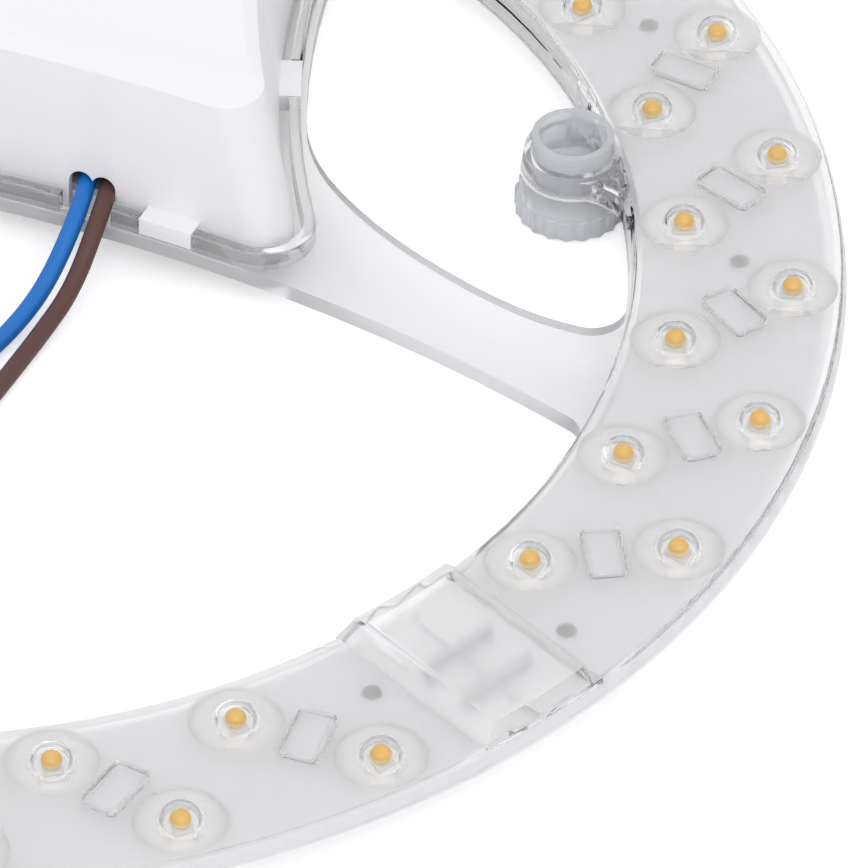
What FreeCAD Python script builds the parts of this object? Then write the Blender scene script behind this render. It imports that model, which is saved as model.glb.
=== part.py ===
import FreeCAD, Part
import math
import os

from FreeCAD import Vector

# Round light ring with three boards under one clear lens moulding, a driver box on a pair of side
# arms inside the ring, and three screw-adjusted magnet feet. Millimetres, +Z up on the light side,
# origin on the ring's axis at the level that the magnets stand on, driver box towards +Y.

# Ring moulding
ring_outer_radius = 120.0
ring_width = 27.9
ring_outer_draft = 0.4
plate_top = 9.7
plate_thickness = 1.0
wall_thickness = 1.2
outer_wall_foot = 6.9
inner_wall_foot = 4.5
inner_wall_step = 7.0
ring_edge_round = 0.5

# Boards, lights and lenses
board_count = 3
first_board_angle = 30.0
lights_per_board = 16
light_pitch_angle = 20.0 / 3.0
outer_row_inset = 4.2
inner_row_inset = 5.2
board_inner_gap = 0.3
board_outer_gap = 1.2
board_thickness = 1.0
board_top = 8.0
board_joint_gap = 1.0
light_length = 3.5
light_width = 2.8
light_height = 0.6
lens_radius = 5.8
lens_rise = 2.75
pocket_margin = 0.55
pocket_taper = 0.7
pocket_depth = 2.4
bump_length = 8.5
bump_width = 5.0
bump_rise = 0.6
bump_taper = 0.6

# Stakes that hold the boards: (angle from the board's middle, distance from its inner edge)
stake_places = ((13.4, 12.1), (-13.4, 12.1), (53.2, 8.0), (-53.2, 15.6))
stake_radius = 1.1
stake_clearance = 0.15
stake_shoulder_radius = 1.8
stake_head_height = 0.5

# Raised bridges over the board joints
bridge_half_width = 9.6
bridge_top_half_width = 7.3
bridge_rise = 2.5
bridge_wall = 1.1
bridge_inner_draft = 0.9
bridge_outer_draft = 1.5

# Jumper wires from board to board, under the bridges
jumper_diameter = 1.2
jumper_insets = (9.4, 16.4)
jumper_half_span = 5.0
jumper_lift = 1.4

# Side arms and the plate under the driver box
arm_plate_top = 6.8
arch_top = 14.2
arch_radius = 232.0
box_waist = 64.2
box_waist_height = 84.57
side_radius = 137.25
flange_width = 0.8
arm_root_height = 41.0
arm_tip_height = 13.4
arm_corner_radius = 4.5
web_corner_radius = 10.0
arch_corner_radius = 4.0

# An arm's upper edge between its root and its tip: (share of the way out, height)
arm_bend = ((0.185, 28.4), (0.476, 19.3), (0.753, 14.2))

# Driver tray
box_end_gap = 8.1
tray_corner_radius = 7.0
tray_top = 9.5
tray_wall = 1.5
tray_floor = 1.2
tray_edge_round = 0.6

# Driver cover and its snap tabs
cover_gap = 1.3
cover_wall = 1.4
cover_rise = 17.0
cover_draft = 2.9
cover_bevel_width = 1.9
cover_bevel_rise = 1.0
cover_corner_growth = 0.8
tab_length = 7.4
tab_height = 2.5
tab_clearance = 0.2
low_tab_reach = 30.3
flank_tab_height = 46.5
end_tab_angle = 11.0

# Mains leads
lead_diameter = 2.4
blue_exit_x = 17.5
brown_exit_x = 20.6
lead_exit_height = 10.0
lead_notch_side = 0.5
tray_notch_side = 0.9
tip_diameter = 1.1
tip_length = 7.0

# Driver board and what stands on it
driver_board_thickness = 1.2
driver_board_lift = 0.9
driver_board_margin = 0.8
driver_board_corner = 3.0
arch_post_spread = 33.0
arch_post_inset = 10.3
end_post_spread = 22.0
end_post_inset = 14.0
driver_post_radius = 2.4
driver_pin_radius = 1.1
driver_pin_clearance = 0.15
driver_pin_rise = 0.5
rest_gap = 0.05
solder_radius = 1.5
solder_top_radius = 0.7
solder_height = 1.6
output_lead_diameter = 1.4
output_lead_offset = 2.3
output_lead_inset = 14.0
output_lead_reach = 5.9
output_notch_side = 0.5
transformer_length = 17.0
transformer_width = 13.0
transformer_height = 14.0
core_leg = 3.6
core_depth = 6.0
coil_clearance = 0.2
input_capacitor_radius = 5.0
input_capacitor_height = 16.0
output_capacitor_radius = 4.0
output_capacitor_height = 12.0
film_capacitor_size = (13.0, 6.0, 11.0)
choke_radius = 4.5
choke_waist_radius = 3.6
choke_height = 10.0
choke_flange = 1.2
rectifier_size = (4.6, 6.4, 2.6)
control_chip_size = (4.0, 5.0, 1.6)
fuse_radius = 1.8
fuse_length = 9.0

# Plan places on the driver board: (across from the middle, share of the way from arch to box end)
transformer_spot = (0, 0.484)
input_capacitor_spot = (-24, 0.241)
output_capacitor_spot = (-14, 0.713)
film_capacitor_spot = (-6, 0.169)
choke_spot = (28, 0.312)
rectifier_spot = (6.5, 0.212)
control_chip_spot = (15, 0.685)
fuse_spot = (13, 0.398)

# Magnet feet
foot_offset = 5.0
stem_radius = 5.35
stem_bore_radius = 4.45
stem_top = 12.3
stem_bore_floor = 5.2
collar_clearance = 0.1
collar_top = 10.0
collar_foot = 6.4
collar_top_radius = 6.3
collar_foot_radius = 6.7
foot_web_top = 9.3
foot_web_fillet = 7.0
foot_recess_floor = 7.6
foot_recess_wall = 1.2
knob_top = 6.1
knob_foot = 0.2
knob_rib_top = 3.0
knob_radius = 7.35
knob_groove_depth = 0.4
knob_rib_step = 0.1
knob_rib_count = 20
knob_shoulder_radius = 6.2
knob_relief = 0.6
magnet_radius = 6.0
magnet_height = 4.0
magnet_clearance = 0.05

# Levels and places that follow
plate_bottom = plate_top - plate_thickness
board_bottom = board_top - board_thickness
ring_top_radius = ring_outer_radius - ring_outer_draft
ring_inner_radius = ring_outer_radius - ring_width
upper_inner_radius = ring_inner_radius + ring_edge_round
board_outer_radius = ring_top_radius - wall_thickness - board_outer_gap
board_inner_radius = upper_inner_radius + wall_thickness + board_inner_gap
outer_row_radius = board_outer_radius - outer_row_inset
inner_row_radius = board_inner_radius + inner_row_inset
foot_axis_radius = ring_inner_radius - foot_offset
box_end_radius = ring_inner_radius - box_end_gap
bridge_top = plate_top + bridge_rise
board_angles = [first_board_angle + 360.0 / board_count * i for i in range(board_count)]
bridge_angles = [angle + 180.0 / board_count for angle in board_angles]
arch_centre = Vector(0, arch_top - arch_radius, 0)
side_centre = Vector(box_waist / 2 + side_radius, box_waist_height, 0)
tray_floor_top = inner_wall_foot + tray_floor
cover_inset = tray_wall + cover_gap
cover_top = tray_top + cover_rise + cover_bevel_rise
tab_foot = tray_top - tab_height
driver_board_inset = cover_inset + cover_wall + driver_board_margin
driver_board_bottom = tray_floor_top + driver_board_lift
driver_board_top = driver_board_bottom + driver_board_thickness
output_lead_height = board_top + output_lead_diameter / 2 + rest_gap
output_lead_start = box_end_radius - output_lead_inset
output_lead_end = ring_inner_radius + output_lead_reach
driver_post_places = (
    Vector(arch_post_spread, arch_top + arch_post_inset, 0),
    Vector(end_post_spread, box_end_radius - end_post_inset, 0),
)
origin = Vector(0, 0, 0)
up = Vector(0, 0, 1)


def polar(radius, degrees):
    a = math.radians(degrees)
    return Vector(radius * math.cos(a), radius * math.sin(a), 0)


def turned(shape, degrees):
    copy = shape.copy()
    copy.rotate(origin, up, degrees)
    return copy


def placed(shape, degrees, place):
    copy = turned(shape, degrees)
    copy.translate(place)
    return copy


def mirrored(shape):
    return shape.mirror(origin, Vector(1, 0, 0))


def cylinder(radius, low, high, place=origin):
    return Part.makeCylinder(radius, high - low, Vector(place.x, place.y, low))


def cone(low_radius, high_radius, low, high, place=origin):
    return Part.makeCone(low_radius, high_radius, high - low, Vector(place.x, place.y, low))


def block(length, width, low, high, place=origin):
    """A box with its plan centre at a place, between two heights."""
    corner = Vector(place.x - length / 2, place.y - width / 2, low)
    return Part.makeBox(length, width, high - low, corner)


def tapered_block(length, width, taper, low, high):
    """A block that narrows by taper on each side towards its top."""
    x, y = length / 2, width / 2
    wedge = Part.makeWedge(-x, low, -y, taper - y, taper - x, x, high, y, y - taper, x - taper)
    wedge.rotate(origin, Vector(1, 0, 0), 90)
    return wedge


def revolved(profile):
    """A closed (radius, height) outline turned once about the ring's axis."""
    points = [Vector(radius, 0, height) for radius, height in profile]
    face = Part.Face(Part.makePolygon(points + points[:1]))
    return face.revolve(origin, up, 360)


def arc(start, middle, end):
    return Part.Arc(start, middle, end).toShape()


def prism(edges, low, high):
    """A solid between two heights over a closed outline drawn at height zero."""
    face = Part.Face(Part.Wire(Part.__sortEdges__(edges)))
    face.translate(Vector(0, 0, low))
    return face.extrude(Vector(0, 0, high - low))


def rounded_at(solid, corners, radius):
    """The solid with its upright edges at the given plan corners rounded."""
    chosen = []
    for edge in solid.Edges:
        a, b = edge.Vertexes[0].Point, edge.Vertexes[-1].Point
        if math.hypot(a.x - b.x, a.y - b.y) > 1e-4:
            continue
        if any(math.hypot(a.x - p.x, a.y - p.y) < 0.05 for p in corners):
            chosen.append(edge)
    return solid.makeFillet(radius, chosen)


def on_circle(centre, radius, towards):
    """The point of a circle that lies in the direction of another point."""
    direction = towards.sub(centre)
    return centre.add(direction.multiply(radius / direction.Length))


def crossing(centre_a, radius_a, centre_b, radius_b, pick):
    """Where two circles cross; pick scores the two points and the higher one is given."""
    across = centre_b.sub(centre_a)
    gap = across.Length
    along = (radius_a**2 - radius_b**2 + gap**2) / (2 * gap)
    half = math.sqrt(radius_a**2 - along**2)
    unit = across.multiply(1 / gap)
    middle = centre_a.add(Vector(unit).multiply(along))
    side = Vector(-unit.y, unit.x, 0).multiply(half)
    return max((middle.add(side), middle.sub(side)), key=pick)


def height_of(point):
    return point.y


def board_spot(spot):
    """A plan place on the driver board from its sideways place and its share of the board's depth."""
    across, share = spot
    return Vector(across, arch_top + share * (box_end_radius - arch_top), 0)


def stake_spots():
    return [polar(board_inner_radius + inset, angle) for angle, inset in stake_places]


def box_prism(inset, corner_radius, low, high):
    """The driver box's plan outline, moved inwards by inset, between two heights."""
    low_radius, flank_radius, end_radius = arch_radius + inset, side_radius + inset, box_end_radius - inset
    low_corner = crossing(arch_centre, low_radius, side_centre, flank_radius, height_of)
    end_corner = crossing(origin, end_radius, side_centre, flank_radius, height_of)
    flank = on_circle(side_centre, flank_radius, low_corner.add(end_corner).multiply(0.5))
    right = [low_corner, flank, end_corner]
    left = [Vector(-p.x, p.y, 0) for p in right]
    edges = [
        arc(left[0], arch_centre.add(Vector(0, low_radius, 0)), right[0]),
        arc(*right),
        arc(right[2], Vector(0, end_radius, 0), left[2]),
        arc(*left),
    ]
    corners = [right[0], right[2], left[0], left[2]]
    return rounded_at(prism(edges, low, high), corners, corner_radius)


def box_outline(inset, corner_radius, height):
    solid = box_prism(inset, corner_radius, height, height + 1.0)
    return min(solid.Faces, key=lambda face: face.CenterOfMass.z).OuterWire


# Clear lens moulding


def ring_channel():
    """The ring is a channel open below: a lens plate with a wall down each side."""
    top, edge, wall = plate_top, ring_edge_round, wall_thickness
    return revolved(
        [
            (ring_outer_radius, outer_wall_foot),
            (ring_top_radius, top - edge),
            (ring_top_radius - edge, top),
            (upper_inner_radius + edge, top),
            (upper_inner_radius, top - edge),
            (upper_inner_radius, inner_wall_step),
            (ring_inner_radius, inner_wall_step),
            (ring_inner_radius, inner_wall_foot),
            (ring_inner_radius + wall, inner_wall_foot),
            (upper_inner_radius + wall, inner_wall_step),
            (upper_inner_radius + wall, plate_bottom),
            (ring_top_radius - wall, plate_bottom),
            (ring_outer_radius - wall, outer_wall_foot),
        ]
    )


def light_places():
    """Plan places and angles of the lights on a board whose middle lies on +X."""
    first = light_pitch_angle * (lights_per_board - 1) / 2
    angles = [first - light_pitch_angle * i for i in range(lights_per_board)]
    radii = [outer_row_radius, inner_row_radius] * (lights_per_board // 2)
    return [(polar(radius, angle), angle) for radius, angle in zip(radii, angles)]


def lens_dome():
    """A cap of a ball, its seam below, that stands on the lens plate and runs a little into it."""
    ball = (lens_radius**2 + lens_rise**2) / (2 * lens_rise)
    centre = Vector(0, 0, plate_top + lens_rise - ball)
    sphere = Part.makeSphere(ball, centre, Vector(1, 0, 0))
    sphere.rotate(centre, Vector(1, 0, 0), 180)
    width = 3 * lens_radius
    return sphere.common(block(width, width, plate_top - plate_thickness / 2, plate_top + ball))


def light_pocket():
    """The hollow that each lens has over its light."""
    length, width = light_length + 2 * pocket_margin, light_width + 2 * pocket_margin
    return tapered_block(length, width, pocket_taper, plate_bottom - 0.2, plate_bottom + pocket_depth)


def bumps():
    """Low raised pads between each outer lens and the next inner one."""
    pad = tapered_block(bump_width, bump_length, bump_taper, plate_top - 0.2, plate_top + bump_rise)
    places = light_places()
    pads = []
    for (outer, _), (inner, _) in zip(places[0::2], places[1::2]):
        line = inner.sub(outer)
        middle = outer.add(inner).multiply(0.5)
        pads.append(placed(pad, math.degrees(math.atan2(line.y, line.x)), middle))
    return pads


def bridge_form(inset, low):
    """The raised box over a board joint, on +X, with its faces moved inwards by inset."""
    half, top_half = bridge_half_width - inset, bridge_top_half_width - inset
    foot, top = plate_top - inset, bridge_top - inset
    section = [(-half, low), (-half, foot), (-top_half, top), (top_half, top), (half, foot), (half, low)]
    points = [Vector(0, side, height) for side, height in section]
    bar = Part.Face(Part.makePolygon(points + points[:1])).extrude(Vector(2 * ring_outer_radius, 0, 0))
    inner, outer = upper_inner_radius + inset, ring_top_radius - inset
    return bar.common(
        revolved(
            [
                (inner, low),
                (inner, plate_top - ring_edge_round),
                (inner + bridge_inner_draft, top),
                (outer - bridge_outer_draft, top),
                (outer, plate_top - ring_edge_round),
                (outer, low),
            ]
        )
    )


def stakes():
    """Moulded pins through the board, melted over below it, with a shoulder above it."""
    pins = []
    for place in stake_spots():
        pins.append(cylinder(stake_shoulder_radius, board_top, plate_bottom + 0.2, place))
        pins.append(cylinder(stake_radius, board_bottom - stake_head_height, board_top, place))
        pins.append(cylinder(stake_shoulder_radius, board_bottom - stake_head_height, board_bottom, place))
    return pins


def side_opening():
    """The gap on the right between the box, an arm and the ring."""
    flank_radius = side_radius - flange_width
    reach = math.sqrt(flank_radius**2 - (side_centre.y - arm_root_height) ** 2)
    root = Vector(side_centre.x - reach, arm_root_height, 0)
    end = crossing(origin, ring_inner_radius, side_centre, flank_radius, height_of)
    tip_angle = math.degrees(math.asin(arm_tip_height / ring_inner_radius))
    tip = polar(ring_inner_radius, tip_angle)
    flank = on_circle(side_centre, flank_radius, root.add(end).multiply(0.5))
    bend = [Vector(root.x + share * (tip.x - root.x), height, 0) for share, height in arm_bend]
    curve = Part.BSplineCurve()
    curve.interpolate(
        Points=[root, *bend, tip],
        InitialTangent=Vector(side_centre.y - root.y, root.x - side_centre.x, 0),
        FinalTangent=Vector(1, 0, 0),
    )
    end_angle = math.degrees(math.atan2(end.y, end.x))
    edges = [
        arc(end, flank, root),
        curve.toShape(),
        arc(tip, polar(ring_inner_radius, (tip_angle + end_angle) / 2), end),
    ]
    gap = prism(edges, inner_wall_foot - 1, arm_plate_top + 1)
    return rounded_at(rounded_at(gap, [tip], arm_corner_radius), [end], web_corner_radius)


def low_opening():
    """The large gap between the arch under the driver box and the ring."""
    right = crossing(origin, ring_inner_radius, arch_centre, arch_radius, lambda p: p.x)
    left = Vector(-right.x, right.y, 0)
    edges = [
        arc(left, Vector(0, arch_top, 0), right),
        arc(right, Vector(0, -ring_inner_radius, 0), left),
    ]
    gap = prism(edges, inner_wall_foot - 1, arm_plate_top + 1)
    return rounded_at(gap, [left, right], arch_corner_radius)


def arm_plate():
    """The disc inside the ring, less its three gaps, leaves the arms and the plate under the box."""
    disc = cylinder(ring_inner_radius + wall_thickness / 2, inner_wall_foot, arm_plate_top)
    gap = side_opening()
    return disc.cut([gap, mirrored(gap), low_opening()])


def tray_body():
    body = box_prism(0, tray_corner_radius, inner_wall_foot, tray_top)
    rim = [edge for edge in body.Edges if edge.BoundBox.ZMin > tray_top - 0.01]
    return body.makeFillet(tray_edge_round, rim)


def tab_zones(clearance):
    """Where the cover's snap tabs cross the tray wall."""
    length, low = tab_length + 2 * clearance, tab_foot - clearance
    zone = block(4 * cover_inset, length, low, tray_top + 1)
    flank = Vector(
        side_centre.x - math.sqrt(side_radius**2 - (side_centre.y - flank_tab_height) ** 2),
        flank_tab_height,
        0,
    )
    low_side = Vector(low_tab_reach, arch_centre.y + math.sqrt(arch_radius**2 - low_tab_reach**2), 0)
    end_side = polar(box_end_radius, 90 - end_tab_angle)
    zones = []
    for place, centre in ((flank, side_centre), (low_side, arch_centre), (end_side, origin)):
        line = place.sub(centre)
        zones.append(placed(zone, math.degrees(math.atan2(line.y, line.x)), place))
    return zones + [mirrored(one) for one in zones]


def lead_notch(low):
    """The gap through which the two mains leads leave the box."""
    side = lead_diameter / 2 + tray_notch_side
    width = brown_exit_x - blue_exit_x + 2 * side
    middle = Vector((blue_exit_x + brown_exit_x) / 2, arch_top, 0)
    return block(width, 2 * cover_inset + 1, low, tray_top + 1, middle)


def output_notch(from_y, to_y, low, high):
    width = 2 * output_lead_offset + output_lead_diameter + 2 * output_notch_side
    return block(width, to_y - from_y, low, high, Vector(0, (from_y + to_y) / 2, 0))


def foot_web(low, high, extra):
    """The web from a foot's collar to the ring, on +X, between two concave fillets."""
    axis = Vector(foot_axis_radius, 0, 0)
    fillet = foot_web_fillet
    turn = crossing(origin, ring_inner_radius - fillet, axis, collar_top_radius + fillet, height_of)
    at_collar = on_circle(turn, fillet, axis)
    at_ring = turn.add(Vector(turn).multiply(fillet / turn.Length))
    middle = on_circle(turn, fillet, at_collar.add(at_ring).multiply(0.5))
    in_ring = at_ring.add(Vector(at_ring).multiply(extra / at_ring.Length))

    def below(point):
        return Vector(point.x, -point.y, 0)

    edges = [
        arc(at_collar, middle, at_ring),
        Part.makeLine(at_ring, in_ring),
        arc(in_ring, Vector(ring_inner_radius + extra, 0, 0), below(in_ring)),
        Part.makeLine(below(in_ring), below(at_ring)),
        arc(below(at_ring), below(middle), below(at_collar)),
        Part.makeLine(below(at_collar), at_collar),
    ]
    return prism(edges, low, high), turn


def foot_collar():
    """The threaded sleeve that a magnet foot screws into, on its web, with its recesses."""
    axis = Vector(foot_axis_radius, 0, 0)
    web, turn = foot_web(collar_foot, foot_web_top, wall_thickness / 2)
    recess, _ = foot_web(foot_recess_floor, foot_web_top + 1, wall_thickness / 2)
    recess = recess.common(cylinder(ring_inner_radius, 0, 2 * plate_top))
    keep = foot_web_fillet + foot_recess_wall
    low, high = collar_foot, foot_web_top + 2
    recess = recess.cut(
        [
            cylinder(keep, low, high, turn),
            cylinder(keep, low, high, Vector(turn.x, -turn.y, 0)),
            cylinder(collar_foot_radius, low, high, axis),
        ]
    )
    sleeve = cone(collar_foot_radius, collar_top_radius, collar_foot, collar_top, axis)
    return web.cut(recess).fuse(sleeve)


def foot_clearance():
    """What the foot needs free: its thread's bore, and room for the knob under the ring."""
    axis = Vector(foot_axis_radius, 0, 0)
    bore = cylinder(stem_radius + collar_clearance, inner_wall_foot - 1, collar_top + 1, axis)
    return bore.fuse(cylinder(knob_radius + knob_relief, inner_wall_foot - 1, collar_foot, axis))


def driver_posts():
    """Stepped posts on the tray floor that carry the driver board."""
    posts = []
    for place in driver_post_places:
        post = cylinder(driver_post_radius, tray_floor_top - tray_floor / 2, driver_board_bottom, place)
        pin_top = driver_board_top + driver_pin_rise
        post = post.fuse(cylinder(driver_pin_radius, driver_board_bottom, pin_top, place))
        posts += [post, mirrored(post)]
    return posts


def lens_frame():
    on_board = [placed(lens_dome(), 0, place) for place, _ in light_places()]
    on_board += bumps() + stakes() + [foot_collar()]
    added = [turned(shape, angle) for angle in board_angles for shape in on_board]
    bridge = bridge_form(0, plate_top - ring_edge_round)
    added += [turned(bridge, angle) for angle in bridge_angles]
    body = ring_channel().fuse(added + [arm_plate(), tray_body()])

    pockets = [placed(light_pocket(), angle, place) for place, angle in light_places()]
    pockets.append(foot_clearance())
    removed = [turned(shape, angle) for angle in board_angles for shape in pockets]
    hollow = bridge_form(bridge_wall, plate_bottom - 0.2)
    removed += [turned(hollow, angle) for angle in bridge_angles]
    removed.append(
        box_prism(tray_wall, tray_corner_radius - tray_wall, tray_floor_top, tray_top + 1)
    )
    rim = box_prism(tray_wall + 1, tray_corner_radius - tray_wall - 1, inner_wall_foot, tray_top + 2)
    removed += [zone.cut(rim) for zone in tab_zones(tab_clearance)]
    removed.append(lead_notch(arm_plate_top))
    low = output_lead_height - output_lead_diameter / 2 - output_notch_side / 2
    high = output_lead_height + output_lead_diameter / 2 + output_notch_side / 2
    removed.append(output_notch(box_end_radius - 2 * tray_wall, box_end_radius + 1, low, tray_top + 1))
    removed.append(
        output_notch(ring_inner_radius - 1, upper_inner_radius + 2 * wall_thickness, low, high)
    )
    body = body.cut(removed).fuse(driver_posts())
    return body.removeSplitter()


# Boards and lights


def light_board():
    """A board sector on +X with its stake holes."""
    half = 180.0 / board_count - math.degrees(board_joint_gap / 2 / board_inner_radius)
    inner, outer = board_inner_radius, board_outer_radius
    edges = [
        arc(polar(outer, -half), polar(outer, 0), polar(outer, half)),
        Part.makeLine(polar(outer, half), polar(inner, half)),
        arc(polar(inner, half), polar(inner, 0), polar(inner, -half)),
        Part.makeLine(polar(inner, -half), polar(outer, -half)),
    ]
    holes = [
        cylinder(stake_radius + stake_clearance, board_bottom - 1, board_top + 1, place)
        for place in stake_spots()
    ]
    return prism(edges, board_bottom, board_top).cut(holes)


def board_lights():
    chip = block(light_length, light_width, board_top, board_top + light_height)
    return Part.makeCompound([placed(chip, angle, place) for place, angle in light_places()])


def jumper(radius):
    """A wire link bent like a staple, standing on the pads each side of a board joint."""
    top = board_top + jumper_lift
    points = [
        Vector(radius, -jumper_half_span, board_top),
        Vector(radius, -jumper_half_span, top),
        Vector(radius, jumper_half_span, top),
        Vector(radius, jumper_half_span, board_top),
    ]
    path = Part.makePolygon(points)
    section = Part.Wire(Part.makeCircle(jumper_diameter / 2, points[0], up))
    return path.makePipeShell([section], True, False, 1)


# Driver box


def cover_form(wall, foot):
    """The cover's outer form for wall zero, or the space inside that wall."""
    base, radius = cover_inset + wall, tray_corner_radius - cover_inset - wall
    top = tray_top + cover_rise
    wires = [
        box_outline(base, radius, foot),
        box_outline(base, radius, tray_top),
    ]
    if wall:
        reach = (cover_top - wall - tray_top) / cover_rise * cover_draft
        wires.append(box_outline(base + reach, radius + cover_corner_growth, cover_top - wall))
    else:
        wires.append(box_outline(base + cover_draft, radius + cover_corner_growth, top))
        bevel = base + cover_draft + cover_bevel_width
        wires.append(box_outline(bevel, radius, cover_top))
    return Part.makeLoft(wires, True, True)


def cover_tabs():
    band = box_prism(0, tray_corner_radius, tab_foot, tray_top).cut(
        box_prism(cover_inset + cover_wall / 2, 1.0, tab_foot - 1, tray_top + 1)
    )
    return [band.common(zone) for zone in tab_zones(0)]


def driver_cover():
    shell = cover_form(0, tray_floor_top).cut(cover_form(cover_wall, tray_floor_top - 1))
    shell = shell.fuse(cover_tabs())
    openings = []
    for x in (blue_exit_x, brown_exit_x):
        hole = Part.makeCylinder(
            lead_diameter / 2 + lead_notch_side,
            2 * cover_inset + 2 * cover_wall,
            Vector(x, arch_top - 1, lead_exit_height),
            Vector(0, 1, 0),
        )
        openings.append(hole)
    width = brown_exit_x - blue_exit_x + lead_diameter + 2 * lead_notch_side
    middle = Vector((blue_exit_x + brown_exit_x) / 2, arch_top + cover_inset + cover_wall, 0)
    openings.append(
        block(width, 2 * cover_inset + 2 * cover_wall, tray_floor_top - 1, lead_exit_height, middle)
    )
    high = output_lead_height + output_lead_diameter / 2 + output_notch_side / 2
    start = box_end_radius - cover_inset - 2 * cover_wall - 1
    openings.append(output_notch(start, box_end_radius, tray_floor_top - 1, high))
    return shell.cut(openings)


def driver_board():
    board = box_prism(driver_board_inset, driver_board_corner, driver_board_bottom, driver_board_top)
    holes = []
    for place in driver_post_places:
        radius = driver_pin_radius + driver_pin_clearance
        hole = cylinder(radius, driver_board_bottom - 1, driver_board_top + 1, place)
        holes += [hole, mirrored(hole)]
    return board.cut(holes)


def transformer():
    """An E-core pair with its winding round the middle leg, lying on the board."""
    low, place = driver_board_top, board_spot(transformer_spot)
    high = low + transformer_height
    core = block(transformer_length, core_depth, low, high, place)
    window_low, window_high = low + core_leg / 2, high - core_leg / 2
    window = (transformer_length - 2 * core_leg - core_leg) / 2
    shift = Vector((core_leg + window) / 2, 0, 0)
    for centre in (place.add(shift), place.sub(shift)):
        core = core.cut(block(window, 2 * core_depth, window_low, window_high, centre))
    gap = coil_clearance
    coil = block(
        core_leg + 2 * window - 2 * gap,
        transformer_width,
        window_low + gap,
        window_high - gap,
        place,
    )
    upright = [
        edge for edge in coil.Edges if abs(edge.Vertexes[0].Point.z - edge.Vertexes[-1].Point.z) > 1
    ]
    coil = coil.makeFillet(core_leg / 2, upright)
    leg = block(core_leg + 2 * gap, core_depth + 2 * gap, low, high, place)
    return core, coil.cut(leg)


def can(radius, height, place):
    """An electrolytic capacitor with a rolled groove near its foot."""
    low = driver_board_top
    groove = radius / 10
    profile = [
        (0, low),
        (radius, low),
        (radius, low + 3 * groove),
        (radius - groove, low + 4 * groove),
        (radius, low + 5 * groove),
        (radius, low + height - groove),
        (radius - groove, low + height),
        (0, low + height),
    ]
    return placed(revolved(profile), 0, place)


def choke():
    low, high = driver_board_top, driver_board_top + choke_height
    profile = [
        (0, low),
        (choke_radius, low),
        (choke_radius, low + choke_flange),
        (choke_waist_radius, low + choke_flange),
        (choke_waist_radius, high - choke_flange),
        (choke_radius, high - choke_flange),
        (choke_radius, high),
        (0, high),
    ]
    return placed(revolved(profile), 0, board_spot(choke_spot))


def board_block(size, place):
    return block(size[0], size[1], driver_board_top, driver_board_top + size[2], place)


def fuse_resistor():
    height = driver_board_top + fuse_radius + rest_gap
    start = board_spot(fuse_spot).add(Vector(0, -fuse_length / 2, height))
    return Part.makeCylinder(fuse_radius, fuse_length, start, Vector(0, 1, 0))


def output_lead(side):
    start = Vector(side * output_lead_offset, output_lead_start, output_lead_height)
    return Part.makeCylinder(
        output_lead_diameter / 2, output_lead_end - output_lead_start, start, Vector(0, 1, 0)
    )


def solder_joints():
    """Mounds where the leads end, on the driver board and on the light board beyond the box."""
    reach = solder_radius + rest_gap
    places = []
    for x in (blue_exit_x, brown_exit_x):
        places.append((Vector(x, lead_start_y + reach, 0), driver_board_top))
    for side in (1, -1):
        x = side * output_lead_offset
        places.append((Vector(x, output_lead_start - reach, 0), driver_board_top))
        places.append((Vector(x, output_lead_end + reach, 0), board_top))
    return Part.makeCompound(
        [cone(solder_radius, solder_top_radius, low, low + solder_height, place) for place, low in places]
    )


# Mains leads: routes chosen along the photograph and then over the floor inside the ring
lead_start_y = 28.0
lead_board_height = driver_board_top + lead_diameter / 2 + rest_gap
lead_floor_height = lead_diameter / 2
blue_route = [
    Vector(blue_exit_x + 0.2, lead_start_y, lead_board_height),
    Vector(blue_exit_x, 20.5, lead_board_height + 0.7),
    Vector(18.8, 12.0, 9.2),
    Vector(17.4, 3.6, 3.4),
    Vector(15.3, -4.4, 1.35),
    Vector(12.4, -13.2, lead_floor_height),
    Vector(8.0, -25.0, lead_floor_height),
    Vector(1.4, -36.2, lead_floor_height),
    Vector(-7.4, -45.8, lead_floor_height),
    Vector(-18.2, -52.6, lead_floor_height),
]
brown_route = [
    Vector(brown_exit_x + 0.2, lead_start_y, lead_board_height),
    Vector(brown_exit_x, 20.5, lead_board_height + 0.7),
    Vector(21.6, 12.0, 9.1),
    Vector(20.8, 3.6, 3.3),
    Vector(19.0, -4.6, 1.4),
    Vector(17.6, -13.8, lead_floor_height),
    Vector(15.6, -27.4, lead_floor_height),
    Vector(11.2, -40.4, lead_floor_height),
    Vector(3.8, -52.4, lead_floor_height),
    Vector(-6.2, -61.8, lead_floor_height),
]


def lead_path(points):
    """Straight runs joined by tangent arcs, each as wide as its two runs allow."""
    edges = []
    last = points[0]
    radii = []
    for before, corner, after in zip(points, points[1:], points[2:]):
        back, ahead = before.sub(corner), after.sub(corner)
        run = min(back.Length, ahead.Length)
        back.normalize()
        ahead.normalize()
        half_turn = (math.pi - back.getAngle(ahead)) / 2
        trim = 0.45 * run
        radius = trim / math.tan(half_turn)
        radii.append(round(radius, 1))
        start = corner.add(Vector(back).multiply(trim))
        end = corner.add(Vector(ahead).multiply(trim))
        inward = back.add(ahead)
        inward.normalize()
        sag = radius * (1 / math.cos(half_turn) - 1)
        edges.append(Part.makeLine(last, start))
        edges.append(arc(start, corner.add(inward.multiply(sag)), end))
        last = end
    edges.append(Part.makeLine(last, points[-1]))
    return Part.Wire(edges), radii


def lead(name, points):
    path, radii = lead_path(points)
    section = Part.Wire(Part.makeCircle(lead_diameter / 2, points[0], points[1].sub(points[0])))
    tube = path.makePipeShell([section], True, False)
    ideal = math.pi * lead_diameter**2 / 4 * path.Length
    print(name, "length", round(path.Length, 1), "volume ratio", round(tube.Volume / ideal, 4))
    print(name, "bend radii", radii)
    return tube


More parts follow.
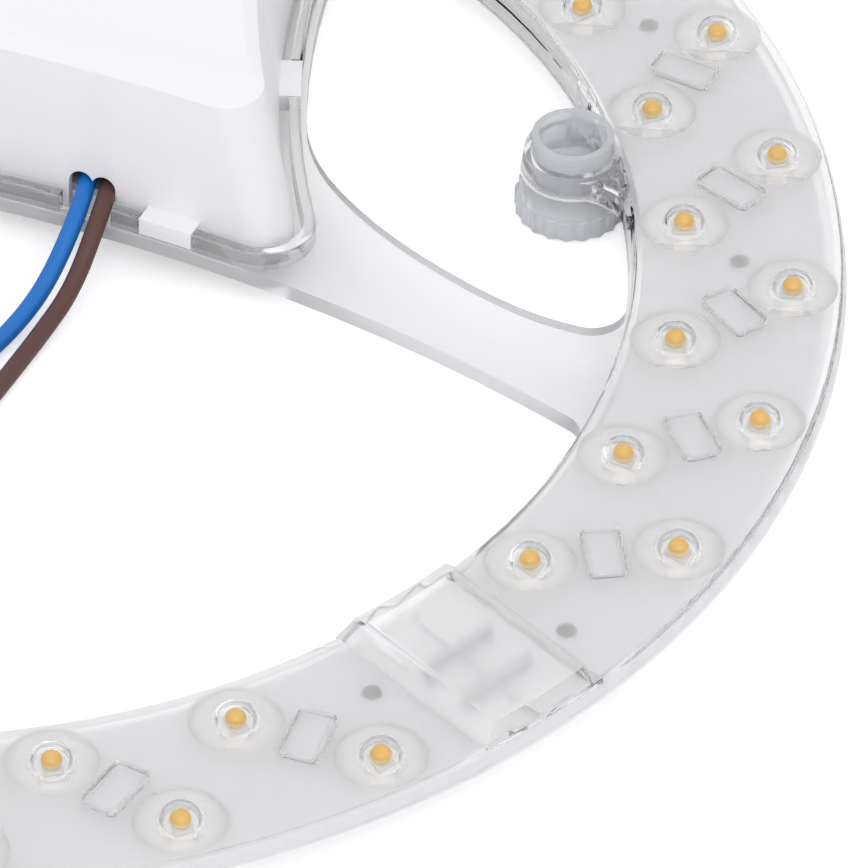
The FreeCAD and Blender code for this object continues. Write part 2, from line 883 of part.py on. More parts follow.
def lead_tip(points):
    """The bare tinned end of a lead."""
    line = points[-1].sub(points[-2])
    return Part.makeCylinder(tip_diameter / 2, tip_length, points[-1], line)


# Magnet feet


def foot_cup():
    """A turning knob with a hollow threaded stem above it and a magnet seat below it."""
    outer = []
    for i in range(2 * knob_rib_count):
        radius = knob_radius - (knob_groove_depth if i % 2 else 0)
        outer.append(polar(radius, 180.0 * i / knob_rib_count))
    ribs = prism(Part.makePolygon(outer + outer[:1]).Edges, knob_foot, knob_rib_top)
    body = revolved(
        [
            (0, knob_rib_top),
            (knob_radius - knob_groove_depth - knob_rib_step, knob_rib_top),
            (knob_shoulder_radius, knob_top),
            (stem_radius, knob_top),
            (stem_radius, stem_top),
            (0, stem_top),
        ]
    )
    seat_top = magnet_height + magnet_clearance
    seat = cylinder(magnet_radius + magnet_clearance, 0, seat_top)
    bore = cylinder(stem_bore_radius, stem_bore_floor, stem_top + 1)
    return body.fuse(ribs).cut([seat, bore]).removeSplitter()


def foot_magnet():
    return cylinder(magnet_radius, 0, magnet_height)


def all_nodes():
    nodes = {"lens_frame": lens_frame()}
    for i, (board_angle, bridge_angle) in enumerate(zip(board_angles, bridge_angles), 1):
        place = polar(foot_axis_radius, board_angle)
        nodes[f"light_board_{i}"] = turned(light_board(), board_angle)
        nodes[f"lights_{i}"] = turned(board_lights(), board_angle)
        nodes[f"foot_cup_{i}"] = placed(foot_cup(), board_angle, place)
        nodes[f"foot_magnet_{i}"] = placed(foot_magnet(), board_angle, place)
        links = Part.makeCompound([jumper(board_inner_radius + inset) for inset in jumper_insets])
        nodes[f"board_jumpers_{i}"] = turned(links, bridge_angle)
    core, coil = transformer()
    nodes["driver_cover"] = driver_cover()
    nodes["driver_board"] = driver_board()
    nodes["transformer_core"] = core
    nodes["transformer_winding"] = coil
    nodes["input_capacitor"] = can(
        input_capacitor_radius, input_capacitor_height, board_spot(input_capacitor_spot)
    )
    nodes["output_capacitor"] = can(
        output_capacitor_radius, output_capacitor_height, board_spot(output_capacitor_spot)
    )
    nodes["film_capacitor"] = board_block(film_capacitor_size, board_spot(film_capacitor_spot))
    nodes["filter_choke"] = choke()
    nodes["bridge_rectifier"] = board_block(rectifier_size, board_spot(rectifier_spot))
    nodes["control_chip"] = board_block(control_chip_size, board_spot(control_chip_spot))
    nodes["fuse_resistor"] = fuse_resistor()
    nodes["output_lead_plus"] = output_lead(1)
    nodes["output_lead_minus"] = output_lead(-1)
    nodes["solder_joints"] = solder_joints()
    nodes["blue_lead"] = lead("blue lead", blue_route)
    nodes["brown_lead"] = lead("brown lead", brown_route)
    nodes["blue_lead_tip"] = lead_tip(blue_route)
    nodes["brown_lead_tip"] = lead_tip(brown_route)
    return nodes


os.makedirs("parts", exist_ok=True)
for node_name, shape in all_nodes().items():
    shape.exportStep(f"parts/{node_name}.step")
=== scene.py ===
import math

import bpy
from mathutils import Matrix, Vector


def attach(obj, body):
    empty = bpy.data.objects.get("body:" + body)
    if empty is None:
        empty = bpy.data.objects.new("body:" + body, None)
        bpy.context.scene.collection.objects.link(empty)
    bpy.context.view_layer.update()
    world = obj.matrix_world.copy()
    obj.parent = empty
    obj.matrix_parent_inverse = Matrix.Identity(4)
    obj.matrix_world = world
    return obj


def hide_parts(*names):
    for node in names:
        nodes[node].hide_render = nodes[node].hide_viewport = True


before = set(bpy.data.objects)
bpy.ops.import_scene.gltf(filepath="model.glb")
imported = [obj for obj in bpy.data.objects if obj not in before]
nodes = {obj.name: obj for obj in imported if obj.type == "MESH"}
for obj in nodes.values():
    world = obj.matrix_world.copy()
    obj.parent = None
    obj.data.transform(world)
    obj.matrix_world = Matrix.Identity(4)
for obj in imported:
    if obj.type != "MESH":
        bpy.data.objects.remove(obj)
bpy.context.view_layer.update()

mm = 0.001


# Camera. A long lens looks down on the near right part of the ring from the photograph's side.
# The film is level with the horizon but for a small roll.
camera_place = Vector((295.9, -754.4, 690.1)) * mm
camera_turn = math.radians(16.63)
camera_tilt = math.radians(48.585)
camera_roll = math.radians(1.281)
film_width = 36.0
photo_width_px = 868
focal_length_px = 8260

camera_data = bpy.data.cameras.new("camera")
camera_data.sensor_width = film_width
camera_data.lens = film_width * focal_length_px / photo_width_px
camera_data.clip_start = 0.05
camera_data.clip_end = 20.0
camera = bpy.data.objects.new("camera", camera_data)
bpy.context.collection.objects.link(camera)
camera.matrix_world = (
    Matrix.Translation(camera_place)
    @ Matrix.Rotation(camera_turn, 4, "Z")
    @ Matrix.Rotation(camera_tilt, 4, "X")
    @ Matrix.Rotation(camera_roll, 4, "Z")
)
bpy.context.scene.camera = camera


# Finishes. Every surface has a fine relief, and a colour and a gloss that drift a little in patches.
# Grain and patches are counted by the metre, and the depth of the relief is in metres.
def grain_group():
    """Fine unevenness of a surface: a mottle from 0 to 1, and a height for bump."""
    group = bpy.data.node_groups.new("surface_grain", "ShaderNodeTree")
    for name, value in (("Scale", 400.0), ("Patch Scale", 40.0)):
        socket = group.interface.new_socket(name=name, in_out="INPUT", socket_type="NodeSocketFloat")
        socket.default_value = value
    for name in ("Mottle", "Height"):
        group.interface.new_socket(name=name, in_out="OUTPUT", socket_type="NodeSocketFloat")
    add, link = group.nodes.new, group.links.new
    entry, leave = add("NodeGroupInput"), add("NodeGroupOutput")
    place, fine, patch = add("ShaderNodeTexCoord"), add("ShaderNodeTexNoise"), add("ShaderNodeTexNoise")
    fine.inputs["Detail"].default_value = 3.0
    patch.inputs["Detail"].default_value = 4.0
    for noise, scale, source in ((fine, "Scale", "Height"), (patch, "Patch Scale", "Mottle")):
        link(place.outputs["Object"], noise.inputs["Vector"])
        link(entry.outputs[scale], noise.inputs["Scale"])
        link(noise.outputs["Fac"], leave.inputs[source])
    return group


surface_grain = grain_group()


def finish_of(
    name, color, roughness, grain=400.0, patches=40.0, depth=0.00002, shade=0.06, rough_spread=0.08, **sockets
):
    """A procedural finish: a colour that drifts a little, uneven gloss, and a fine surface relief."""
    material = bpy.data.materials.new(name)
    material.use_nodes = True
    tree = material.node_tree
    shader = tree.nodes["Principled BSDF"]
    for key, value in sockets.items():
        shader.inputs[key.replace("_", " ").title().replace("Ior", "IOR")].default_value = value
    surface = tree.nodes.new("ShaderNodeGroup")
    surface.node_tree = surface_grain
    surface.inputs["Scale"].default_value = grain
    surface.inputs["Patch Scale"].default_value = patches
    tint = tree.nodes.new("ShaderNodeMix")
    tint.data_type = "RGBA"
    tint.inputs["A"].default_value = (*color, 1.0)
    tint.inputs["B"].default_value = (*(c * (1.0 - shade) for c in color), 1.0)
    tree.links.new(surface.outputs["Mottle"], tint.inputs["Factor"])
    tree.links.new(tint.outputs["Result"], shader.inputs["Base Color"])
    gloss = tree.nodes.new("ShaderNodeMapRange")
    gloss.inputs["To Min"].default_value = max(roughness - rough_spread, 0.0)
    gloss.inputs["To Max"].default_value = roughness + rough_spread
    tree.links.new(surface.outputs["Mottle"], gloss.inputs["Value"])
    tree.links.new(gloss.outputs["Result"], shader.inputs["Roughness"])
    relief = tree.nodes.new("ShaderNodeBump")
    relief.inputs["Distance"].default_value = depth
    relief.inputs["Strength"].default_value = 0.6
    tree.links.new(surface.outputs["Height"], relief.inputs["Height"])
    tree.links.new(relief.outputs["Normal"], shader.inputs["Normal"])
    return material


def new_piece(name, data, body, slot, *replaced):
    """A finished piece in the scene that rides on a body and stands for the given nodes."""
    piece = data if isinstance(data, bpy.types.Object) else bpy.data.objects.new(name, data)
    if piece.name not in bpy.context.collection.objects:
        bpy.context.collection.objects.link(piece)
    piece.name = name
    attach(piece, body)
    if replaced:
        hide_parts(*replaced)
    return piece


# Mains leads. Two stranded copper wires in soft PVC, blue and brown, soldered to the driver board.
# They leave the box through a notch in the cover, drop to what the module stands on and lie there.
lead_diameter = 2.4 * mm
blue_points = [
    (17.7, 28.0, 9.05),
    (17.5, 20.5, 9.75),
    (18.8, 12.0, 9.2),
    (17.4, 3.6, 3.4),
    (15.3, -4.4, 1.35),
    (12.4, -13.2, 1.2),
    (8.0, -25.0, 1.2),
    (1.4, -36.2, 1.2),
    (-7.4, -45.8, 1.2),
    (-18.2, -52.6, 1.2),
]
brown_points = [
    (20.8, 28.0, 9.05),
    (20.6, 20.5, 9.75),
    (21.6, 12.0, 9.1),
    (20.8, 3.6, 3.3),
    (19.0, -4.6, 1.4),
    (17.6, -13.8, 1.2),
    (15.6, -27.4, 1.2),
    (11.2, -40.4, 1.2),
    (3.8, -52.4, 1.2),
    (-6.2, -61.8, 1.2),
]


def lead(name, points, color):
    """One lead: its insulation is a free cord along the route, with the bare tip on it."""
    curve = bpy.data.curves.new(name, "CURVE")
    curve.dimensions = "3D"
    curve.bevel_depth = lead_diameter / 2
    curve.bevel_resolution = 7
    curve.use_fill_caps = True
    curve.resolution_u = 16
    spline = curve.splines.new("NURBS")
    spline.points.add(len(points) - 1)
    for point, place in zip(spline.points, points):
        point.co = (*(Vector(place) * mm), 1.0)
    spline.order_u = 3
    spline.use_endpoint_u = True
    curve.materials.append(
        finish_of(name + "_pvc", color, 0.42, grain=900.0, patches=160.0, depth=0.00003, specular_ior_level=0.4)
    )
    piece = new_piece(name + "_insulation", curve, "frame", name.replace("lead", "insulation"), name)
    return piece


lead("blue_lead", blue_points, (0.008, 0.165, 0.56))
lead("brown_lead", brown_points, (0.105, 0.047, 0.04))


def paint(material, *names):
    """Gives CAD nodes that stay as they are a finish of their own."""
    for name in names:
        for holder in nodes[name].material_slots:
            holder.material = material


tinned = finish_of("tinned_copper", (0.72, 0.72, 0.73), 0.3, grain=3000.0, depth=0.00008, metallic=1.0)
paint(tinned, "blue_lead_tip", "brown_lead_tip")


# Studio. A white sheet under the module and an even white sky with a narrow grey band above the
# horizon, so that clear edges show as grey lines; one broad soft lamp above the camera.
sky_strength = 0.97
seen_sky_gain = 0.03
floor_size = 6.0
floor_drop = 0.2 * mm
floor_glow = 0.42
glow_share_through_plastic = 0.5
lamp_length, lamp_width, lamp_power = 1.1, 0.45, 4.3
lamp_turn, lamp_rise, lamp_distance = math.radians(-66), math.radians(51), 1.5


def studio():
    world = bpy.data.worlds.new("studio")
    bpy.context.scene.world = world
    world.use_nodes = True
    tree = world.node_tree
    add, link = tree.nodes.new, tree.links.new
    back = tree.nodes["Background"]
    place, split, ramp = add("ShaderNodeTexCoord"), add("ShaderNodeSeparateXYZ"), add("ShaderNodeValToRGB")
    link(place.outputs["Generated"], split.inputs["Vector"])
    link(split.outputs["Z"], ramp.inputs["Fac"])
    ramp.color_ramp.elements[0].position = 0.0
    ramp.color_ramp.elements[0].color = (0.9, 0.9, 0.91, 1.0)
    ramp.color_ramp.elements[1].position = 0.32
    ramp.color_ramp.elements[1].color = (1.0, 1.0, 1.0, 1.0)
    for position, level in ((0.03, 0.85), (0.06, 0.6), (0.12, 0.6), (0.17, 0.97)):
        ramp.color_ramp.elements.new(position).color = (level, level, level * 1.01, 1.0)
    seen, mix = add("ShaderNodeLightPath"), add("ShaderNodeMix")
    clear_gain, camera_gain = add("ShaderNodeMath"), add("ShaderNodeMath")
    mix.data_type = "RGBA"
    mix.inputs["B"].default_value = (1.0, 1.0, 1.0, 1.0)
    link(seen.outputs["Is Camera Ray"], mix.inputs["Factor"])
    link(ramp.outputs["Color"], mix.inputs["A"])
    link(mix.outputs["Result"], back.inputs["Color"])
    for step, ray in ((clear_gain, "Is Transmission Ray"), (camera_gain, "Is Camera Ray")):
        step.operation = "MULTIPLY_ADD"
        step.inputs[1].default_value = seen_sky_gain
        step.inputs[2].default_value = sky_strength
        link(seen.outputs[ray], step.inputs[0])
    link(clear_gain.outputs[0], camera_gain.inputs[2])
    link(camera_gain.outputs[0], back.inputs["Strength"])

    bpy.ops.mesh.primitive_plane_add(size=floor_size, location=(0, 0, -floor_drop))
    floor = bpy.context.object
    floor.name = "floor"
    sheet = bpy.data.materials.new("white_sheet")
    sheet.use_nodes = True
    tree = sheet.node_tree
    shader = tree.nodes["Principled BSDF"]
    shader.inputs["Base Color"].default_value = (0.86, 0.86, 0.87, 1.0)
    shader.inputs["Roughness"].default_value = 0.9
    shader.inputs["Specular IOR Level"].default_value = 0.1
    light_path = tree.nodes.new("ShaderNodeLightPath")
    glow = tree.nodes.new("ShaderNodeMath")
    glow.operation = "MULTIPLY"
    glow.inputs[1].default_value = floor_glow
    through = tree.nodes.new("ShaderNodeMath")
    through.operation = "MULTIPLY_ADD"
    through.inputs[1].default_value = glow_share_through_plastic
    tree.links.new(light_path.outputs["Is Transmission Ray"], through.inputs[0])
    tree.links.new(light_path.outputs["Is Camera Ray"], through.inputs[2])
    tree.links.new(through.outputs[0], glow.inputs[0])
    shader.inputs["Emission Color"].default_value = (1.0, 1.0, 1.0, 1.0)
    tree.links.new(glow.outputs[0], shader.inputs["Emission Strength"])
    floor.data.materials.append(sheet)

    lamp_data = bpy.data.lights.new("soft_box", "AREA")
    lamp_data.shape = "RECTANGLE"
    lamp_data.size = lamp_length
    lamp_data.size_y = lamp_width
    lamp_data.energy = lamp_power
    lamp = bpy.data.objects.new("soft_box", lamp_data)
    bpy.context.collection.objects.link(lamp)
    lamp.location = (
        lamp_distance * math.cos(lamp_rise) * math.cos(lamp_turn),
        lamp_distance * math.cos(lamp_rise) * math.sin(lamp_turn),
        lamp_distance * math.sin(lamp_rise),
    )
    lamp.rotation_euler = (Vector((0, 0, 0)) - lamp.location).to_track_quat("-Z", "Y").to_euler()


studio()


# Clear moulding. Polycarbonate, injection moulded in one piece: lens plate, walls, bridges, arms, tray.
# The lenses are turned up here as smooth balls with a hollow over each light.
plate_top = 9.7 * mm
plate_bottom = 8.7 * mm
lens_radius = 5.8 * mm
lens_rise = 2.75 * mm
hollow_radius = 2.5 * mm
hollow_rise = 2.6 * mm
row_radii = (113.0 * mm, 99.3 * mm)
light_pitch = math.radians(20.0 / 3.0)
lights_per_board = 16
board_angles = [math.radians(a) for a in (30.0, 150.0, 270.0)]
bridge_angles = [math.radians(a) for a in (90.0, 210.0, 330.0)]
pad_length = 8.5 * mm
pad_width = 5.0 * mm
pad_rise = 0.6 * mm
clear_overlap = 0.3 * mm
arm_plate_top = 6.8 * mm
board_top = 8.0 * mm
board_inner_radius = 94.1 * mm
stake_places = [
    (math.radians(a), inset * mm) for a, inset in ((13.4, 12.1), (-13.4, 12.1), (53.2, 8.0), (-53.2, 15.6))
]
stake_radius = 1.2 * mm
shoulder_radius = 1.6 * stake_radius
lens_weld = 0.5 * mm
field_inner_radius = 93.35 * mm
field_outer_radius = 118.95 * mm
bridge_middle_radius = 106 * mm
bridge_keep_out = (60 * mm, 20.4 * mm, 30 * mm)
bridge_half_width = 9.7 * mm
arm_root_radius = 91 * mm
ring_inner_radius = 92 * mm
ring_wall_radius = 118.8 * mm
upright_limit = 0.6
level_limit = 0.9998


def only(*pieces):
    bpy.ops.object.select_all(action="DESELECT")
    for piece in pieces:
        piece.select_set(True)
    bpy.context.view_layer.objects.active = pieces[0]


def joined(pieces):
    only(*pieces)
    bpy.ops.object.join()
    return bpy.context.object


def settle(piece):
    """Puts a piece's place into its mesh."""
    only(piece)
    bpy.ops.object.transform_apply(location=True, rotation=True, scale=True)
    return piece


def merged_copy(node, name):
    """A copy of a CAD node's mesh as one connected skin."""
    copy = bpy.data.objects.new(name, nodes[node].data.copy())
    bpy.context.collection.objects.link(copy)
    only(copy)
    bpy.ops.object.mode_set(mode="EDIT")
    bpy.ops.mesh.select_all(action="SELECT")
    bpy.ops.mesh.remove_doubles(threshold=0.001 * mm)
    bpy.ops.object.mode_set(mode="OBJECT")
    return copy


def combine(piece, other, operation):
    """Adds or takes away another closed mesh, which is used up."""
    only(piece)
    modifier = piece.modifiers.new(operation.lower(), "BOOLEAN")
    modifier.operation = operation
    modifier.solver = "MANIFOLD"
    modifier.object = other
    bpy.ops.object.modifier_apply(modifier=modifier.name)
    bpy.data.objects.remove(other)
    return piece


def lathe(name, profile, steps=48):
    """A closed turned form: (radius, height) points from axis to axis, spun about Z."""
    mesh = bpy.data.meshes.new(name)
    edges = [(i, i + 1) for i in range(len(profile) - 1)]
    mesh.from_pydata([(r, 0.0, z) for r, z in profile], edges, [])
    piece = bpy.data.objects.new(name, mesh)
    bpy.context.collection.objects.link(piece)
    only(piece)
    bpy.ops.object.mode_set(mode="EDIT")
    bpy.ops.mesh.select_all(action="SELECT")
    bpy.ops.mesh.spin(steps=steps, angle=2 * math.pi, center=(0, 0, 0), axis=(0, 0, 1))
    bpy.ops.mesh.select_all(action="SELECT")
    bpy.ops.mesh.remove_doubles(threshold=0.0005 * mm)
    bpy.ops.mesh.normals_make_consistent(inside=False)
    bpy.ops.object.mode_set(mode="OBJECT")
    return piece


def copies_at(piece, matrices):
    """One piece repeated at each place, joined to one object; the pattern piece is used up."""
    group = []
    for matrix in matrices:
        copy = piece.copy()
        copy.data = piece.data.copy()
        copy.matrix_world = matrix @ piece.matrix_world
        bpy.context.collection.objects.link(copy)
        group.append(copy)
    bpy.data.objects.remove(piece)
    return settle(joined(group))


def light_spots():
    """Where each light stands: (angle of its board, place seen from that board's middle)."""
    spots = []
    for i in range(lights_per_board):
        angle = light_pitch * ((lights_per_board - 1) / 2 - i)
        radius = row_radii[i % 2]
        spots.append((radius * math.cos(angle), radius * math.sin(angle), angle))
    return spots


def light_matrices():
    return [
        Matrix.Rotation(board, 4, "Z") @ Matrix.Translation((x, y, 0)) @ Matrix.Rotation(angle, 4, "Z")
        for board in board_angles
        for x, y, angle in light_spots()
    ]


def pad_matrices():
    result = []
    spots = light_spots()
    for board in board_angles:
        for (ax, ay, _), (bx, by, _) in zip(spots[0::2], spots[1::2]):
            turn = math.atan2(by - ay, bx - ax)
            middle = Matrix.Translation(((ax + bx) / 2, (ay + by) / 2, 0))
            result.append(Matrix.Rotation(board, 4, "Z") @ middle @ Matrix.Rotation(turn, 4, "Z"))
    return result


def stake_matrices():
    return [
        Matrix.Rotation(board + angle, 4, "Z") @ Matrix.Translation((board_inner_radius + inset, 0, 0))
        for board in board_angles
        for angle, inset in stake_places
    ]


def arc_profile(radius, rise, base, steps):
    """Points of a ball's cap from its rim to its crown."""
    ball = (radius**2 + rise**2) / (2 * rise)
    full = math.acos((ball - rise) / ball)
    points = []
    for i in range(steps + 1):
        a = full * (1 - i / steps)
        points.append((ball * math.sin(a), base + rise - ball + ball * math.cos(a)))
    return points


def clear_lens():
    outer = arc_profile(lens_radius, lens_rise, plate_top, 12)
    inner = arc_profile(hollow_radius, hollow_rise, plate_bottom, 7)
    profile = list(reversed(inner)) + [(lens_radius, plate_bottom)] + outer
    return lathe("lens", profile)


def soft_block(size, centre, upright_round, top_round):
    """A block whose upright corners and upper edges are rounded."""
    bpy.ops.object.select_all(action="DESELECT")
    bpy.ops.mesh.primitive_cube_add(size=1.0, location=centre)
    block = bpy.context.object
    block.scale = size
    settle(block)
    top = max(v.co.z for v in block.data.vertices)
    for edge in block.data.edges:
        a, b = (block.data.vertices[i].co for i in edge.vertices)
        edge.select = abs(a.z - b.z) > size[2] / 2
    only(block)
    bpy.ops.object.mode_set(mode="EDIT")
    bpy.ops.mesh.bevel(offset=upright_round, segments=5, affect="EDGES")
    bpy.ops.mesh.select_all(action="DESELECT")
    bpy.ops.object.mode_set(mode="OBJECT")
    for face in block.data.polygons:
        face.select = face.normal.z > 0.9 and face.center.z > top - 1e-7
    bpy.ops.object.mode_set(mode="EDIT")
    bpy.ops.mesh.region_to_loop()
    bpy.ops.mesh.bevel(offset=top_round, segments=3, affect="EDGES")
    bpy.ops.object.mode_set(mode="OBJECT")
    return block


def plain_cylinder(radius, low, high, steps=96):
    bpy.ops.object.select_all(action="DESELECT")
    bpy.ops.mesh.primitive_cylinder_add(
        vertices=steps, radius=radius, depth=high - low, location=(0, 0, (low + high) / 2)
    )
    return settle(bpy.context.object)


def clear_moulding():
    """The CAD moulding with its plain lenses and pads swept off and finely shaped ones put in their place."""
    body = merged_copy("lens_frame", "lens_frame_clear")
    swept = plain_cylinder(field_outer_radius, plate_top, plate_top + 6 * mm, 192)
    inside = plain_cylinder(field_inner_radius, plate_top - mm, plate_top + 7 * mm, 192)
    combine(swept, inside, "DIFFERENCE")
    bars = []
    for angle in bridge_angles:
        bpy.ops.object.select_all(action="DESELECT")
        bpy.ops.mesh.primitive_cube_add(size=1.0)
        bar = bpy.context.object
        bar.scale = bridge_keep_out
        bar.location = (bridge_middle_radius * math.cos(angle), bridge_middle_radius * math.sin(angle), plate_top)
        bar.rotation_euler = (0, 0, angle)
        bars.append(settle(bar))
    combine(swept, joined(bars), "DIFFERENCE")
    combine(body, swept, "DIFFERENCE")
    holes = plain_cylinder(lens_radius - lens_weld, plate_bottom - mm / 2, plate_top + mm, 48)
    combine(body, copies_at(holes, light_matrices()), "DIFFERENCE")
    combine(body, copies_at(clear_lens(), light_matrices()), "UNION")
    shoulders = plain_cylinder(shoulder_radius, board_top, plate_bottom, 32)
    combine(body, copies_at(shoulders, stake_matrices()), "DIFFERENCE")
    pad = soft_block(
        (pad_width, pad_length, pad_rise + clear_overlap),
        (0, 0, plate_top + (pad_rise - clear_overlap) / 2),
        1.0 * mm,
        0.35 * mm,
    )
    combine(body, copies_at(pad, pad_matrices()), "UNION")
    only(body)
    bpy.ops.object.mode_set(mode="EDIT")
    bpy.ops.mesh.select_all(action="DESELECT")
    bpy.ops.object.mode_set(mode="OBJECT")
    for face in body.data.polygons:
        if abs(face.normal.z) < upright_limit and face.center.to_2d().length < arm_root_radius:
            for i in face.vertices:
                body.data.vertices[i].select = True
    bpy.ops.object.mode_set(mode="EDIT")
    bpy.ops.mesh.bisect(plane_co=(0, 0, arm_plate_top), plane_no=(0, 0, 1))
    bpy.ops.object.mode_set(mode="OBJECT")
    bpy.ops.object.shade_smooth_by_angle(angle=math.radians(28))
    for face in body.data.polygons:
        if abs(face.normal.z) > level_limit:
            face.use_smooth = False
    return body


def clear_finish(name, roughness, color, depth, clearness):
    """Moulded polycarbonate: the lower the clearness, the more light it scatters back."""
    return finish_of(
        name,
        color,
        roughness,
        grain=260.0,
        patches=60.0,
        depth=depth,
        shade=0.015,
        rough_spread=0.02,
        transmission_weight=clearness,
        ior=1.34,
    )


lens_places = [matrix.translation.to_2d() for matrix in light_matrices()]


clear_face, satin_face, arm_face, painted_shade_tray_face, edge_face, milky_face = range(6)


def moulding_slot(face, points):
    """Which finish a face has, by where it lies on the moulding and which way it looks."""
    x, y, z = face.center
    radius = math.hypot(x, y)
    around = math.atan2(y, x)
    off = min(abs(math.remainder(around - a, 2 * math.pi)) for a in bridge_angles)
    upright = abs(face.normal.z) < upright_limit
    corners = [points[i].co for i in face.vertices]
    crown = max(corner.z for corner in corners)
    if radius > ring_inner_radius:
        place = face.center.to_2d()
        lens = min(lens_places, key=lambda spot: (place - spot).length_squared)
        reach = max((corner.to_2d() - lens).length for corner in corners)
        if face.normal.z < -0.7 and abs(z - plate_bottom) < 0.1 * mm:
            return milky_face if reach < lens_radius + 0.03 * mm else satin_face
        if off * radius < bridge_half_width and z > plate_top - 0.1 * mm:
            return satin_face if face.normal.z > 0.5 else clear_face
        if radius > ring_wall_radius and upright and crown < plate_top + 0.05 * mm:
            return edge_face if face.normal.x * x + face.normal.y * y > 0 else clear_face
        on_pad = plate_top < z < plate_top + pad_rise + 0.02 * mm and reach > lens_radius + 0.1 * mm
        return satin_face if on_pad else clear_face
    if upright and z < arm_plate_top:
        return edge_face
    # Upright tray walls get a grey tint: painted shade of the dark inside of the driver box.
    if y > 11 * mm and abs(x) < 46 * mm and radius < 88 * mm:
        return painted_shade_tray_face if upright else clear_face
    return arm_face


moulding = clear_moulding()
moulding.data.materials.clear()
# In the order of the face names above.
for kind in (
    ("clear_polycarbonate", 0.03, (0.998, 0.998, 1.0), 0.00001, 1.0),
    ("satin_polycarbonate", 0.36, (0.99, 0.985, 0.995), 0.00004, 0.8),
    ("arm_polycarbonate", 0.14, (0.965, 0.96, 0.975), 0.00002, 1.0),
    # Grey tint on the tray walls: painted shade of the dark inside of the box.
    ("tray_wall_painted_shade_polycarbonate", 0.06, (0.72, 0.715, 0.71), 0.00001, 1.0),
    ("edge_polycarbonate", 0.3, (0.9, 0.895, 0.92), 0.00003, 0.45),
    ("milky_polycarbonate", 0.4, (0.99, 0.99, 0.995), 0.00002, 0.85),
):
    moulding.data.materials.append(clear_finish(*kind))
for face in moulding.data.polygons:
    face.material_index = moulding_slot(face, moulding.data.vertices)
new_piece("lens_frame_clear", moulding, "frame", "clear_plastic", "lens_frame")

# Dark discs level with the light boards where the clear stakes pass through: painted shade in those holes.
stake_shade_disc = plain_cylinder(stake_radius, board_top - 0.1 * mm, board_top + 0.15 * mm, 40)
stake_shade_discs = copies_at(stake_shade_disc, stake_matrices())
stake_shade_discs.data.materials.append(
    finish_of("stake_hole_painted_shade", (0.17, 0.17, 0.175), 0.5, grain=900.0, patches=300.0)
)
new_piece("stake_shade_discs", stake_shade_discs, "frame", "clear_plastic")


# Light boards. Thin aluminium sheet under a thick white solder mask, laid in the ring from below.
# Solder holds the ends of the leads and of the wire links between the boards.
solder_mask = finish_of("white_solder_mask", (0.97, 0.965, 0.975), 0.38, grain=700.0, patches=30.0, shade=0.03)
paint(solder_mask, "light_board_1", "light_board_2", "light_board_3")
paint(tinned, "board_jumpers_1", "board_jumpers_2", "board_jumpers_3")
solder = finish_of("solder", (0.66, 0.67, 0.69), 0.25, grain=900.0, depth=0.00006, metallic=1.0)
paint(solder, "solder_joints")


# Lights. White resin packages of the common 2835 size, each under a domed drop of yellow phosphor gel.
# The drop is deeper in colour towards its crown.
chip_length = 3.5 * mm
chip_width = 2.8 * mm
chip_height = 0.6 * mm
phosphor_radius = 1.15 * mm
phosphor_rise = 2.3 * mm
resin = finish_of("chip_resin", (0.86, 0.85, 0.82), 0.45, grain=1500.0, patches=300.0, depth=0.00002)
gel = finish_of(
    "phosphor_gel", (1.0, 0.78, 0.46), 0.3, grain=1200.0, patches=500.0, depth=0.00002, shade=0.08,
    subsurface_weight=0.2, subsurface_scale=0.0005,
)
core = finish_of("phosphor_core", (1.0, 0.6, 0.15), 0.3, grain=1200.0, patches=500.0, depth=0.00002, shade=0.08)


def light_package():
    body = soft_block(
        (chip_length, chip_width, chip_height),
        (0, 0, board_top + chip_height / 2),
        0.25 * mm,
        0.08 * mm,
    )
    body.data.materials.append(resin)
    chip_top = board_top + chip_height
    cap = arc_profile(phosphor_radius, phosphor_rise, chip_top - 0.02 * mm, 8)
    drop = lathe("phosphor", [(0.0, chip_top - chip_height / 2)] + cap, 28)
    drop.data.materials.append(gel)
    drop.data.materials.append(core)
    for face in drop.data.polygons:
        if face.center.z > chip_top + 0.5 * phosphor_rise:
            face.material_index = 1
    return joined([body, drop])


packages = copies_at(light_package(), light_matrices())
only(packages)
bpy.ops.object.shade_smooth_by_angle(angle=math.radians(35))
new_piece("light_packages", packages, "frame", "light_phosphor", "lights_1", "lights_2", "lights_3")


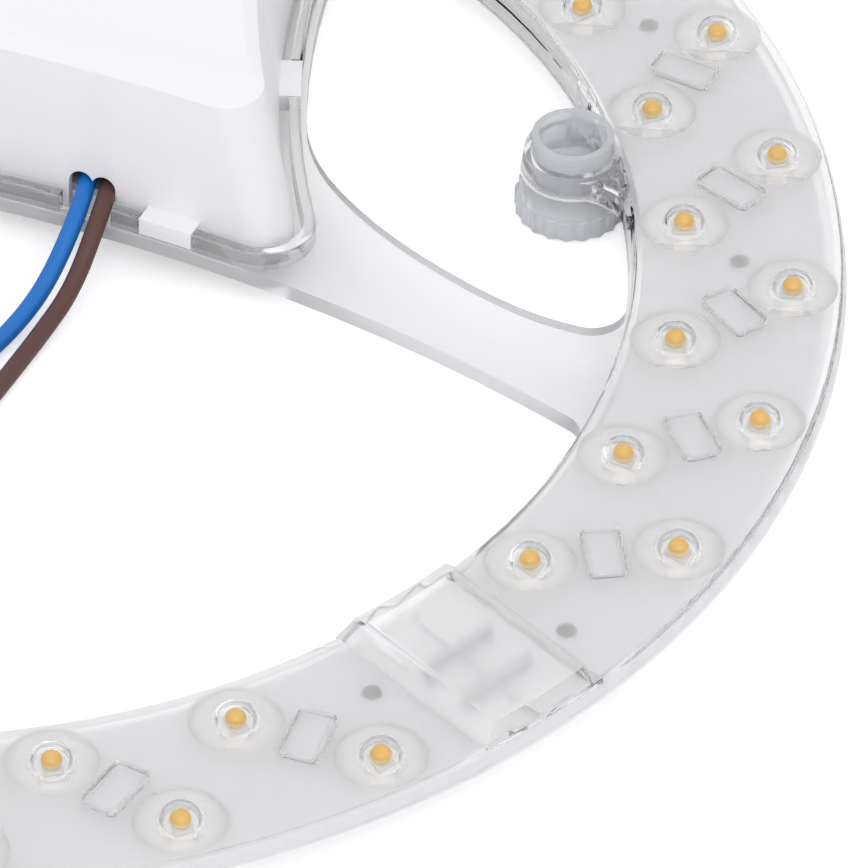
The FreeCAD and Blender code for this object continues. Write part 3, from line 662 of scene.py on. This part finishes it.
# Driver cover. White flame-resistant plastic, injection moulded, snapped into the tray by its tabs.
# Fine matt spark texture, with softly rounded edges.
def cover_piece():
    cover = merged_copy("driver_cover", "driver_cover_white")
    only(cover)
    bpy.ops.object.mode_set(mode="EDIT")
    bpy.ops.mesh.select_all(action="SELECT")
    bpy.ops.mesh.dissolve_limited(angle_limit=math.radians(1.0))
    bpy.ops.object.mode_set(mode="OBJECT")
    bevel = cover.modifiers.new("soft_edges", "BEVEL")
    bevel.width = 0.35 * mm
    bevel.segments = 3
    bevel.limit_method = "ANGLE"
    bevel.angle_limit = math.radians(36)
    bevel.use_clamp_overlap = True
    only(cover)
    bpy.ops.object.modifier_apply(modifier=bevel.name)
    bpy.ops.object.shade_smooth_by_angle(angle=math.radians(20))
    cover.data.materials.clear()
    cover.data.materials.append(
        finish_of(
            "white_cover_plastic", (0.85, 0.84, 0.865), 0.5, grain=1400.0, patches=25.0, depth=0.00003, shade=0.02
        )
    )
    return cover


new_piece("driver_cover_white", cover_piece(), "frame", "white_plastic", "driver_cover")


# Inside the driver box. A small isolated supply on its own board, closed in by the cover.
# Cans, cores and packages stand on a board that rests on four moulded posts.
paint(finish_of("pale_board", (0.6, 0.62, 0.58), 0.5, grain=700.0), "driver_board")
ferrite = finish_of("ferrite", (0.035, 0.035, 0.04), 0.7, grain=1200.0, depth=0.00008)
paint(ferrite, "transformer_core", "filter_choke")
paint(finish_of("polyester_tape", (0.8, 0.6, 0.08), 0.3, grain=300.0), "transformer_winding")
paint(finish_of("shrink_sleeve", (0.02, 0.025, 0.06), 0.3, grain=300.0), "input_capacitor", "output_capacitor")
paint(finish_of("film_case", (0.55, 0.3, 0.04), 0.35, grain=500.0), "film_capacitor")
paint(finish_of("black_package", (0.02, 0.02, 0.02), 0.6, grain=1500.0), "bridge_rectifier", "control_chip")
paint(finish_of("resistor_sleeve", (0.03, 0.03, 0.03), 0.5, grain=800.0), "fuse_resistor")
paint(finish_of("white_wire", (0.8, 0.8, 0.8), 0.45, grain=900.0), "output_lead_minus")
paint(finish_of("red_wire", (0.55, 0.02, 0.015), 0.45, grain=900.0), "output_lead_plus")


# Magnet feet. A hollow threaded stem and a ribbed knob in one clear moulding, turned by hand to set
# the height, with a nickel-plated magnet pressed in from below.
foot_finish = finish_of(
    "foot_polycarbonate", (0.94, 0.955, 0.985), 0.12, grain=260.0, patches=60.0, depth=0.00003, shade=0.02,
    transmission_weight=0.62, ior=1.45,
)
nickel = finish_of("nickel_plate", (0.8, 0.8, 0.81), 0.36, grain=500.0, depth=0.00001, metallic=1.0)
paint(foot_finish, "foot_cup_1", "foot_cup_2", "foot_cup_3")
paint(nickel, "foot_magnet_1", "foot_magnet_2", "foot_magnet_3")


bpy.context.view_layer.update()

scene = bpy.context.scene
scene.view_settings.view_transform = "Standard"
